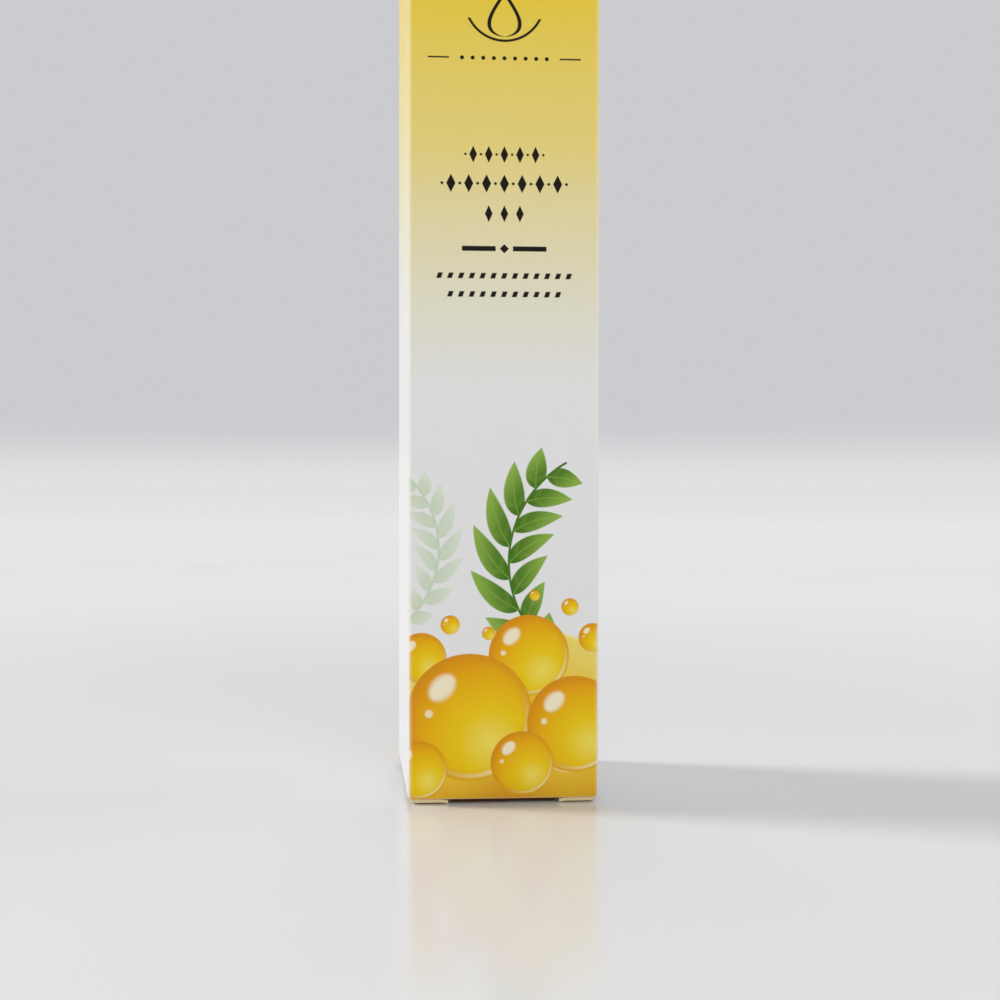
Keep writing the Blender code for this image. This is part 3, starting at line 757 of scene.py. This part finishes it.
def coatedPaper(tree, shader):
    # the coated board under the print: a faint orange peel and drifts in gloss
    place = objectPlace(tree)
    peel = noise(place, 1.6, 3.0, 0.6) * 0.7 + noise(place, 9.0, 2.0, 0.6) * 0.3
    addRelief(shader, peel, boardFinish["peelHeight"])
    gloss = (noise(place, 0.35, 2.0, 0.5) - 0.5) * 0.14 + boardFinish["printRoughness"]
    wire(gloss, shader, "Roughness")
    return place


def wornCrease(colour, away, place):
    # ink thins out over a fold and shows the cream board under it, a little unevenly; the pale band is also
    # a painted highlight, for the light that a fold's curve catches
    flecks = rise(noise(place, 1.3, 4.0, 0.7), 0.25, 0.75) * 0.24 + 0.16
    return mix(rise(away, *boardFinish["creaseWearAndHighlight"]) * flecks, colour, boardFinish["cream"])


def handled(colour, place):
    # faint specks from handling
    return mix((noise(place, 5.0, 3.0, 0.7) - 0.35) * 0.05, colour, boardFinish["handling"])


def printedSleeve():
    material, tree, shader = newMaterial("printedSleeve", Specular_IOR_Level=0.1)
    place = coatedPaper(tree, shader)
    u, v = sheetPlace(tree)
    pitch = panelPitch / mm
    wallCount = (u / (2 * pitch)).math("ROUND")
    mainU = u - wallCount * (2 * pitch)  # the front's design stands on the back as well
    main = within(mainU, pitch / 2)
    mainPlace = addNode(tree, "ShaderNodeCombineXYZ", [mainU, v, 0.0])
    side = 1.0 - main
    colour = ramp((v - side * sideWash["lift"]) / (height / mm), wash)
    colour = mix(side * sideWash["fade"], colour, boardFinish["paper"])
    art = colour
    for sprig in sprigs:
        art = paintSprig(art, mainU, v, sprig)
    for swell in swells:
        art = paintSwell(art, mainU, v, swell)
    for drop in oilDrops:
        art = paintDrop(art, mainPlace, drop)
    art = mix(ornamentInk(mainU, v), art, boardFinish["ink"])
    colour = mix(main, colour, art)
    sideU, step = abs(mainU) - pitch, sideLines["step"]
    lines = stroke((sideU / step).math("ROUND") * step - sideU, sideLines["width"])
    lines = lines * within(sideU, sideLines["reach"]) * side
    lines = lines * within(v - sideLines["middle"], sideLines["halfHeight"])
    colour = mix(lines * sideLines["strength"], colour, boardFinish["greyInk"])
    creaseAway = (u / pitch + 0.5).math("FRACT")
    creaseAway = creaseAway.math("MINIMUM", 1.0 - creaseAway) * pitch
    wire(handled(wornCrease(colour, creaseAway, place), place), shader, "Base Color")
    return material


def printedPanel(name, nearTone, farTone, changeStart, changeEnd, paintedFoldShade=None):
    # a lid's or flap's outer face: one tone near its fold and another past a line across it. The fold gets
    # the same wear and painted highlight as the creases, or else a painted shade where it lies in the dark
    material, tree, shader = newMaterial(name, Specular_IOR_Level=0.1)
    place = coatedPaper(tree, shader)
    along = sheetPlace(tree)[1]
    colour = mix(rise(along, changeStart, changeEnd), nearTone, farTone)
    if paintedFoldShade is None:
        colour = wornCrease(colour, abs(along), place)
    else:
        # painted shade: the fold is coloured dark for the shadow that the front wall casts on it
        colour = mix(rise(along, 0.9, 0.4), colour, paintedFoldShade)
    wire(handled(colour, place), shader, "Base Color")
    return material


def rawInside():
    # the uncoated inner face: matted fibres, darker flecks and a rough, matt surface
    material, tree, shader = newMaterial("rawInside", Roughness=0.85, Specular_IOR_Level=0.25)
    tone = boardFinish["inside"]
    fibres = noise(objectPlace(tree, (1.0, 1.0, 0.35)), 3.5, 5.0, 0.7)
    colour = mix(rise(fibres, 0.3, 0.7), darker(tone, 0.93), tone)
    flecks = rise(noise(objectPlace(tree), 2.2, 2.0, 0.6), 0.66, 0.74) * 0.25
    wire(mix(flecks, colour, boardFinish["insideFleck"]), shader, "Base Color")
    addRelief(shader, fibres, boardFinish["fibreHeight"])
    return material


def cutEdge():
    # the cut board: cream plies, a little fuzzy
    tone = boardFinish["cutEdge"]
    look = {"soft": (0.35, 0.7), "relief": boardFinish["plyHeight"]}
    sockets = {"Roughness": 0.8, "Specular_IOR_Level": 0.3}
    return grained("cutEdge", (darker(tone, 0.90), tone), (6.0, 4.0, 0.7), **look, **sockets)[0]


# each lid's and flap's print: its name, its tones near and past a line across it, where that line starts and
# ends in mm from the fold, and a painted shade on the fold, for the one that lies in the dark under the
# front wall
gold, white, amber = wash[-1][1], boardFinish["paper"], (0.84, 0.56, 0.05)
panelPrints = {
    "top_lid": ("printedTopLid", gold, gold, 18.0, 19.0),
    "top_tuck": ("printedTopTuck", gold, white, 3.0, 3.2),
    "bottom_lid": ("printedBottomLid", white, amber, 18.3, 18.6),
    # painted shade: the bottom tongue's fold is coloured dark brown for the shadow under the front wall
    "bottom_tuck": ("printedBottomTuckFoldShade", amber, white, 2.2, 2.4, (0.14, 0.048, 0.005)),
    "top_dust": ("printedTopDustFlap", (0.82, 0.545, 0.125), white, 2.4, 2.6),
    "bottom_dust": ("printedBottomDustFlap", white, white, 1.0, 2.0),
}
boardSides = [rawInside(), cutEdge()]  # the same for every piece of board
sleevePrint = printedSleeve()
prints = {panel: printedPanel(*values) for panel, values in panelPrints.items()}
print("board finishes done")

makeSleeve([sleevePrint, *boardSides])
for end in ("top", "bottom"):
    makeLid(end, [prints[f"{end}_lid"], *boardSides])
    makeTuck(end, [prints[f"{end}_tuck"], *boardSides])
    for side in ("left", "right"):
        makeDust(end, side, [prints[f"{end}_dust"], *boardSides])
print("carton done")


# the bottle, its cap and its brush
def turned(name, profile, segments=96, ridge=None, sharp=35.0):
    # point = (r cos a, r sin a, z) for a profile of (r, z), which has both its ends on the axis or closes on
    # itself. ridge(angle, r, z) adds a thread's height to r
    profile = np.asarray(profile, float)
    onAxis = profile[0, 0] == 0
    wall = profile[1:-1] if onAxis else profile
    angle = np.arange(segments) * (2 * np.pi / segments)
    r = np.broadcast_to(wall[:, :1], (len(wall), segments))
    z = np.broadcast_to(wall[:, 1:], (len(wall), segments))
    if ridge is not None:
        r = r + ridge(np.broadcast_to(angle, r.shape), r, z)
    points = np.stack([r * np.cos(angle), r * np.sin(angle), z], 2).reshape(-1, 3)
    index = np.arange(len(wall) * segments).reshape(len(wall), segments)
    if not onAxis:
        index = np.concatenate([index, index[:1]])
    beside = np.roll(index, -1, axis=1)
    quads = np.stack([index[:-1], beside[:-1], beside[1:], index[1:]], 2).reshape(-1, 4)
    fans = []
    if onAxis:
        points = np.concatenate([points, [[0, 0, profile[0, 1]], [0, 0, profile[-1, 1]]]])
        first, last = len(points) - 2, len(points) - 1
        fans += [(first, b, a) for a, b in zip(index[0].tolist(), beside[0].tolist())]
        fans += [(last, a, b) for a, b in zip(index[-1].tolist(), beside[-1].tolist())]
    return meshOf(name, points, quads, fans, sharp=sharp)


def outline(*corners):
    # a profile through its corners, each (r, z) or (r, z, size, steps). The second kind is a right angle
    # rounded by a quarter circle: point = middle - size (onwards cos t + back sin t). One step is a bevel
    points = []
    places = np.array([corner[:2] for corner in corners])
    for corner, place, before, after in zip(corners, places, np.roll(places, 1, 0), np.roll(places, -1, 0)):
        if len(corner) == 2:
            points.append([place])
            continue
        size, steps = corner[2:]
        back, onwards = ((side - place) / np.linalg.norm(side - place) for side in (before, after))
        t = np.linspace(0, np.pi / 2, steps + 1)[:, None]
        points.append(place + size * (back + onwards - onwards * np.cos(t) - back * np.sin(t)))
    return np.concatenate(points)


def upright(r, start, end, rows):
    return np.stack([np.full(rows, r), np.linspace(start, end, rows)], 1)


thread = lengths(start=68.9, pitch=2.4, height=0.7, footHalfWidth=0.55, flankWidth=0.30)
threadTurns = 1.5
threadFade = 0.44  # radians over which it rises at its start and falls at its end


def threadRidge(radius, start, way):
    # a helix on the wall of this radius: its height falls off with the distance along Z from
    # start + pitch x turns, by 3 f^2 - 2 f^3 over its flanks
    def ridge(angle, r, z):
        share = np.zeros_like(z)
        for lap in range(math.ceil(threadTurns)):
            total = angle + 2 * np.pi * lap
            centre = start + thread["pitch"] * total / (2 * np.pi)
            flank = np.clip((thread["footHalfWidth"] - np.abs(z - centre)) / thread["flankWidth"], 0, 1)
            fade = np.clip(total / threadFade, 0, 1)
            fade = fade * np.clip((2 * np.pi * threadTurns - total) / threadFade, 0, 1)
            share = np.maximum(share, flank * flank * (3 - 2 * flank) * fade)
        return np.where(np.abs(r - radius) < onFace, way * thread["height"] * share, 0.0)

    return ridge


bottle = lengths(
    radius=8.5, base=1.3, shoulder=67.3, outerRound=0.8,
    innerRadius=7.1, floor=5.3, ceiling=64.3, innerRound=3.0,
    neckRadius=5.0, neckBore=3.6, neckTop=77.3, neckFillet=0.25, lipRound=0.3, boreBevel=0.2,
)
punt = [(4.7, 0.0), (4.4, 0.06), (2.2, 0.45), (0.0, 0.6)]  # the hollow under the base: radius and rise in mm


def makeGlass(material):
    b = bottle
    neck = upright(b["neckRadius"], b["neckTop"] - b["lipRound"], b["shoulder"] + b["neckFillet"], 78)
    profile = outline(
        (0, b["floor"]),
        (b["innerRadius"], b["floor"], b["innerRound"], 12),
        (b["innerRadius"], b["ceiling"], b["innerRound"], 12),
        (b["neckBore"], b["ceiling"], b["boreBevel"], 1),
        (b["neckBore"], b["neckTop"], b["boreBevel"], 1),
        (b["neckRadius"], b["neckTop"], b["lipRound"], 5),
        *neck[1:-1],
        (b["neckRadius"], b["shoulder"], b["neckFillet"], 4),
        (b["radius"], b["shoulder"], b["outerRound"], 10),
        (b["radius"], b["base"], b["outerRound"], 10),
        *((r * mm, b["base"] + lift * mm) for r, lift in punt),
    )
    piece = turned("clear_glass_bottle", profile, 128, threadRidge(b["neckRadius"], thread["start"], 1.0))
    fit(piece, "bottle", "glass_bottle", [material])


# the oil has a well for the brush
oil = lengths(wallGap=0.3, top=59.8, floorRound=3.0, wellRadius=1.9, wellFloor=6.35)
meniscus = [(0.5, 0.0), (0.15, 0.10), (0.0, 0.32)]  # inwards of the oil's edge, and rise, in mm


def makeOil(material):
    radius, low = bottle["innerRadius"] - oil["wallGap"], bottle["floor"] + oil["wallGap"]
    profile = outline(
        (0, oil["wellFloor"]),
        (oil["wellRadius"], oil["wellFloor"]),
        (oil["wellRadius"], oil["top"]),
        *((radius - inwards * mm, oil["top"] + lift * mm) for inwards, lift in meniscus),
        (radius, low, oil["floorRound"], 12),
        (0, low),
    )
    fit(turned("golden_oil_fill", profile), "bottle", "cuticle_oil", [material])


wiper = lengths(
    low=69.4, tipRadius=2.6, throat=1.9, throatTop=70.1, coneTop=72.4, bore=2.6, outer=3.3,
    flangeLow=77.6, flangeRadius=4.7, top=78.4, bevel=0.15,
)


def makeWiper(material):
    w = wiper
    profile = outline(
        (w["throat"], w["low"]),
        (w["throat"], w["throatTop"]),
        (w["bore"], w["coneTop"]),
        (w["bore"], w["top"], w["bevel"], 1),
        (w["flangeRadius"], w["top"], w["bevel"], 1),
        (w["flangeRadius"], w["flangeLow"]),
        (w["outer"], w["flangeLow"]),
        (w["outer"], w["coneTop"]),
        (w["tipRadius"], w["low"]),
    )
    fit(turned("soft_neck_wiper", profile), "bottle", "neck_wiper", [material])


cap = lengths(
    rim=67.6, top=116.6, topRound=1.0, rimRound=0.3, innerRadius=7.4, mouthBevel=0.1,
    ceiling=115.1, ceilingRound=0.6, rowsBelowTop=2.5, rowsAboveRim=1.6,
)


def makeCap(material):
    c = cap
    radius = bottle["radius"]
    profile = outline(
        (0, c["top"]),
        (radius, c["top"], c["topRound"], 12),
        *upright(radius, c["top"] - c["rowsBelowTop"], c["rim"] + c["rowsAboveRim"], 30),
        (radius, c["rim"], c["rimRound"], 5),
        (c["innerRadius"], c["rim"], c["mouthBevel"], 1),
        (c["innerRadius"], c["ceiling"], c["ceilingRound"], 6),
        (0, c["ceiling"]),
    )
    fit(turned("gold_cap", profile, 128), "cap", "cap_shell", [material])


insert = lengths(low=68.5, plate=79.8, top=81.0, hole=1.9, bore=5.95, outer=7.1, topBevel=0.2, bevel=0.15)


def makeInsert(material):
    s = insert
    wall = upright(s["bore"], s["low"] + s["bevel"], s["plate"] - s["bevel"], 86)
    profile = outline(
        (s["hole"], s["plate"]),
        (s["hole"], s["top"]),
        (s["outer"], s["top"], s["topBevel"], 1),
        (s["outer"], s["low"], s["bevel"], 1),
        (s["bore"], s["low"], s["bevel"], 1),
        *wall[1:-1],
        (s["bore"], s["plate"], s["bevel"], 1),
    )
    ridge = threadRidge(s["bore"], thread["start"] + thread["pitch"] / 2, -1.0)  # between the neck's turns
    piece = turned("threaded_insert", profile, ridge=ridge)
    fit(piece, "cap", "cap_thread_insert", [material])


stem = lengths(
    headRadius=3.4, headLow=81.3, headTop=83.1, headBevel=0.2, radius=1.6, low=16.3, bevel=0.15,
    socketRadius=1.15, socketTop=20.1, socketBevel=0.1,
)


def makeStem(material):
    s = stem
    profile = outline(
        (0, s["headTop"]),
        (s["headRadius"], s["headTop"], s["headBevel"], 1),
        (s["headRadius"], s["headLow"]),
        (s["radius"], s["headLow"]),
        (s["radius"], s["low"], s["bevel"], 1),
        (s["socketRadius"], s["low"], s["socketBevel"], 1),
        (s["socketRadius"], s["socketTop"]),
        (0, s["socketTop"]),
    )
    fit(turned("round_stem", profile, 64), "wand", "brush_stem", [material])


brush = lengths(
    root=17.9, mouth=16.2, tip=7.1, domeHeight=2.6,  # the outer hairs end higher by up to the dome's height
    rootRadius=0.80, bellyRadius=1.42, tipRadius=0.62, hairRadius=0.040,
)
tuft = {
    "hairs": 340,
    "rings": 9,
    "bellyPlace": 0.45,  # share of the way from the mouth to the tip
    "closing": 1.4,  # over 1, the tuft keeps its width for longer below the belly
    "domeShare": 0.98,
    "hairTaper": 0.55,
}


def makeHair(material):
    # hairs spread by the sunflower rule, r = R sqrt(i / n) at 137.5 degrees a step, with R swelling to the
    # belly and closing to the tip. Each hair is a square tube, and the outer ones end higher
    count, rings = tuft["hairs"], tuft["rings"]
    rank = (np.arange(count) + 0.5) / count
    turn = np.arange(count) * math.radians(137.508)
    down = np.linspace(0, 1, rings)
    tip = brush["tip"] + (1 - np.sqrt(1 - tuft["domeShare"] * rank)) * brush["domeHeight"]
    z = brush["root"] + down * (tip[:, None] - brush["root"])
    depth = np.clip((brush["mouth"] - z) / (brush["mouth"] - brush["tip"]), 0, 1)
    swell = np.sin(np.pi / 2 * np.clip(depth / tuft["bellyPlace"], 0, 1))
    close = np.clip((depth - tuft["bellyPlace"]) / (1 - tuft["bellyPlace"]), 0, 1) ** tuft["closing"]
    root, belly, end = brush["rootRadius"], brush["bellyRadius"], brush["tipRadius"]
    radius = np.sqrt(rank)[:, None] * (root + (belly - root) * swell + (end - belly) * close)
    centre = np.stack([radius * np.cos(turn)[:, None], radius * np.sin(turn)[:, None], z], 2)
    thin = brush["hairRadius"] * (1 - tuft["hairTaper"] * down**3)
    around = np.radians(np.arange(4) * 90.0)
    offset = np.stack([np.cos(around), np.sin(around), 0 * around], 1)
    points = centre[:, :, None, :] + thin[None, :, None, None] * offset[None, None, :, :]
    index = np.arange(count * rings * 4).reshape(count, rings, 4)
    beside = np.roll(index, -1, axis=2)
    sides = np.stack([index[:, :-1], beside[:, :-1], beside[:, 1:], index[:, 1:]], 3).reshape(-1, 4)
    caps = np.concatenate([index[:, 0, ::-1], index[:, -1, :]])
    piece = meshOf("brush_hair", points.reshape(-1, 3), np.concatenate([sides, caps]), sharp=60.0)
    fit(piece, "wand", "brush_bristles", [material])


# finishes of the bottle, its cap and its brush: two tones between which each surface drifts
finishTones = {
    "oil": ((0.90, 0.62, 0.10), (0.95, 0.72, 0.20)),
    "lacquer": ((0.80, 0.58, 0.19), (0.88, 0.67, 0.27)),
    "wire": ((0.62, 0.61, 0.58), (0.78, 0.77, 0.74)),
    "hair": ((0.60, 0.55, 0.46), (0.86, 0.82, 0.73)),
}
# moulded plastics: tone, roughness, grain per mm and relief
plastics = {
    "softPlastic": ((0.86, 0.86, 0.81), 0.42, 3.0, 0.01 * mm),
    "whitePlastic": ((0.86, 0.86, 0.85), 0.38, 5.0, 0.008 * mm),
    "stemPlastic": ((0.84, 0.84, 0.81), 0.30, 4.0, 0.004 * mm),
    "linerFoam": ((0.88, 0.88, 0.85), 0.70, 7.0, 0.03 * mm),
}


def clearGlass():
    sockets = {"Base_Color": (0.96, 0.98, 0.97), "Transmission_Weight": 1.0, "IOR": 1.5}
    material, tree, shader = newMaterial("clearGlass", **sockets)
    place = objectPlace(tree)
    wire(noise(place, 0.4, 2.0, 0.5) * 0.03 + 0.01, shader, "Roughness")
    addRelief(shader, noise(place, 0.25, 2.0, 0.5), 0.02 * mm)
    return material


def goldenOil():
    sockets = {"Transmission_Weight": 0.9, "IOR": 1.46, "Roughness": 0.02}
    return grained("goldenOil", finishTones["oil"], (0.2, 2.0, 0.5), (1.0, 1.0, 0.3), **sockets)[0]


def mouldedPlastic(name):
    # a fine texture from the tool, drifts in gloss and faint flow marks in the colour
    tone, roughness, grain, relief = plastics[name]
    drift = (darker(tone, 0.95), tone)
    material, shader, flow = grained(name, drift, (0.6, 3.0, 0.6), (1.0, 1.0, 0.25), Specular_IOR_Level=0.5)
    texture = noise(objectPlace(flow.tree), grain, 3.0, 0.6)
    wire((texture - 0.5) * 0.12 + roughness, shader, "Roughness")
    addRelief(shader, texture, relief)
    return material


def goldLacquer():
    # metallised lacquer: fine turning lines round the cap, and handling scuffs that dull it a little
    tones, grain = finishTones["lacquer"], (14.0, 3.0, 0.7)
    look = {"stretch": (0.02, 0.02, 1.0), "soft": (0.3, 0.7), "relief": 0.004 * mm}
    sockets = {"Metallic": 1.0, "Coat_Weight": 0.35, "Coat_Roughness": 0.08}
    material, shader, lines = grained("goldLacquer", tones, grain, **look, **sockets)
    scuffs = rise(noise(objectPlace(lines.tree), 0.9, 5.0, 0.7), 0.5, 0.75)
    wire(lines * 0.10 + scuffs * 0.12 + 0.14, shader, "Roughness")
    return material


def drawnWire():
    grain, stretch = (20.0, 3.0, 0.6), (0.05, 1.0, 1.0)
    material, shader, lines = grained("drawnWire", finishTones["wire"], grain, stretch, Metallic=1.0)
    wire(lines * 0.15 + 0.22, shader, "Roughness")
    return material


def nylonHair():
    look = {"stretch": (1.0, 1.0, 0.1), "soft": (0.3, 0.7)}
    return grained("nylonHair", finishTones["hair"], (6.0, 2.0, 0.6), **look, Roughness=0.45)[0]


def dress(node, material):
    # a CAD node that keeps its own mesh and gets a better material
    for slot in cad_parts[node].material_slots:
        slot.material = material


makeGlass(clearGlass())
makeOil(goldenOil())
makeWiper(mouldedPlastic("softPlastic"))
makeCap(goldLacquer())
makeInsert(mouldedPlastic("whitePlastic"))
makeStem(mouldedPlastic("stemPlastic"))
makeHair(nylonHair())
dress("sealing_liner", mouldedPlastic("linerFoam"))
dress("brush_anchor", drawnWire())
print("bottle done")


# floor and light
stageSet = {
    "floorReach": 6.0,  # metres
    "floorTone": (0.68, 0.68, 0.685),
    "paintedLightFarFloorTone": (0.85, 0.85, 0.855),
    "paintedLightFarFloor": (40.0, 260.0),  # mm from the carton: where the painted lighter floor starts, and where it is full
    "floorRoughness": 0.16,
    "worldStrength": 0.52,
    "skyTone": (0.60, 0.60, 0.625),
    "horizonTone": (0.75, 0.75, 0.765),
    "horizonSoftness": 0.055,  # height over the horizon, as a share of the sky's radius
}
# each lamp's side (degrees, 0 from +X and 90 from +Y), height, strength, and how wide it looks
lamps = [
    ("key", 166.0, 40.0, 1.80, 10.0),
    ("rim", 12.0, 24.0, 0.45, 30.0),
    ("back", 95.0, 48.0, 0.50, 50.0),
    ("fill", -82.0, 30.0, 0.70, 50.0),
]


def makeFloor():
    # one large flat sheet, a grid of (x, y, 0)
    line = np.linspace(-stageSet["floorReach"], stageSet["floorReach"], 3)
    x, y = np.meshgrid(line, line)
    points = np.stack([x, y, 0 * x], 2).reshape(-1, 3)
    index = np.arange(9).reshape(3, 3)
    quads = np.stack([index[:-1, :-1], index[:-1, 1:], index[1:, 1:], index[1:, :-1]], 2).reshape(-1, 4)
    floor = meshOf("floor", points, quads)
    material, tree, shader = newMaterial("paleFloor", Specular_IOR_Level=0.9)
    place = objectPlace(tree)
    # painted light: the floor's colour is lighter away from the carton and darker near it, for the way the
    # light falls across it
    away = rise(distanceTo(place, (0.0, 0.0, 0.0)), *stageSet["paintedLightFarFloor"])
    wire(mix(away, stageSet["floorTone"], stageSet["paintedLightFarFloorTone"]), shader, "Base Color")
    sheen = noise(place, 0.02, 2.0, 0.5) * 0.02 + (stageSet["floorRoughness"] - 0.01)
    wire(sheen, shader, "Roughness")
    floor.data.materials.append(material)


def addLamp(name, side, elevation, strength, width):
    lamp = bpy.data.lights.new(name, "SUN")
    lamp.energy = strength
    lamp.angle = math.radians(width)
    lampPiece = newPiece(name, lamp)
    lampPiece.rotation_euler = (0.0, math.radians(90 - elevation), math.radians(side))
    lampPiece.visible_glossy = False  # no lamp shows as a white patch in the floor


def makeWorld():
    # even white light on the pieces; what the camera, the floor and the glass see is a soft grey backdrop
    world = bpy.data.worlds.new("studio")
    world.use_nodes = True
    tree = world.node_tree
    even = {"Color": (1.0, 1.0, 1.0), "Strength": stageSet["worldStrength"]}
    light = addNode(tree, "ShaderNodeBackground", even)
    up = xyz(addNode(tree, "ShaderNodeTexCoord", []))[2]
    horizon = rise(up, 0.0, stageSet["horizonSoftness"])
    grey = mix(horizon, stageSet["horizonTone"], stageSet["skyTone"])
    backdrop = addNode(tree, "ShaderNodeBackground", [grey])
    rays = [f"Is {way} Ray" for way in ("Camera", "Glossy", "Transmission")]
    first, second, third = (addNode(tree, "ShaderNodeLightPath", [], ray) for ray in rays)
    seen = first.math("MAXIMUM", second).math("MAXIMUM", third)
    wire(addNode(tree, "ShaderNodeMixShader", [seen, light, backdrop]), tree.nodes["World Output"], 0)
    bpy.context.scene.world = world


makeFloor()
makeWorld()
for lamp in lamps:
    addLamp(*lamp)
print("stage done")
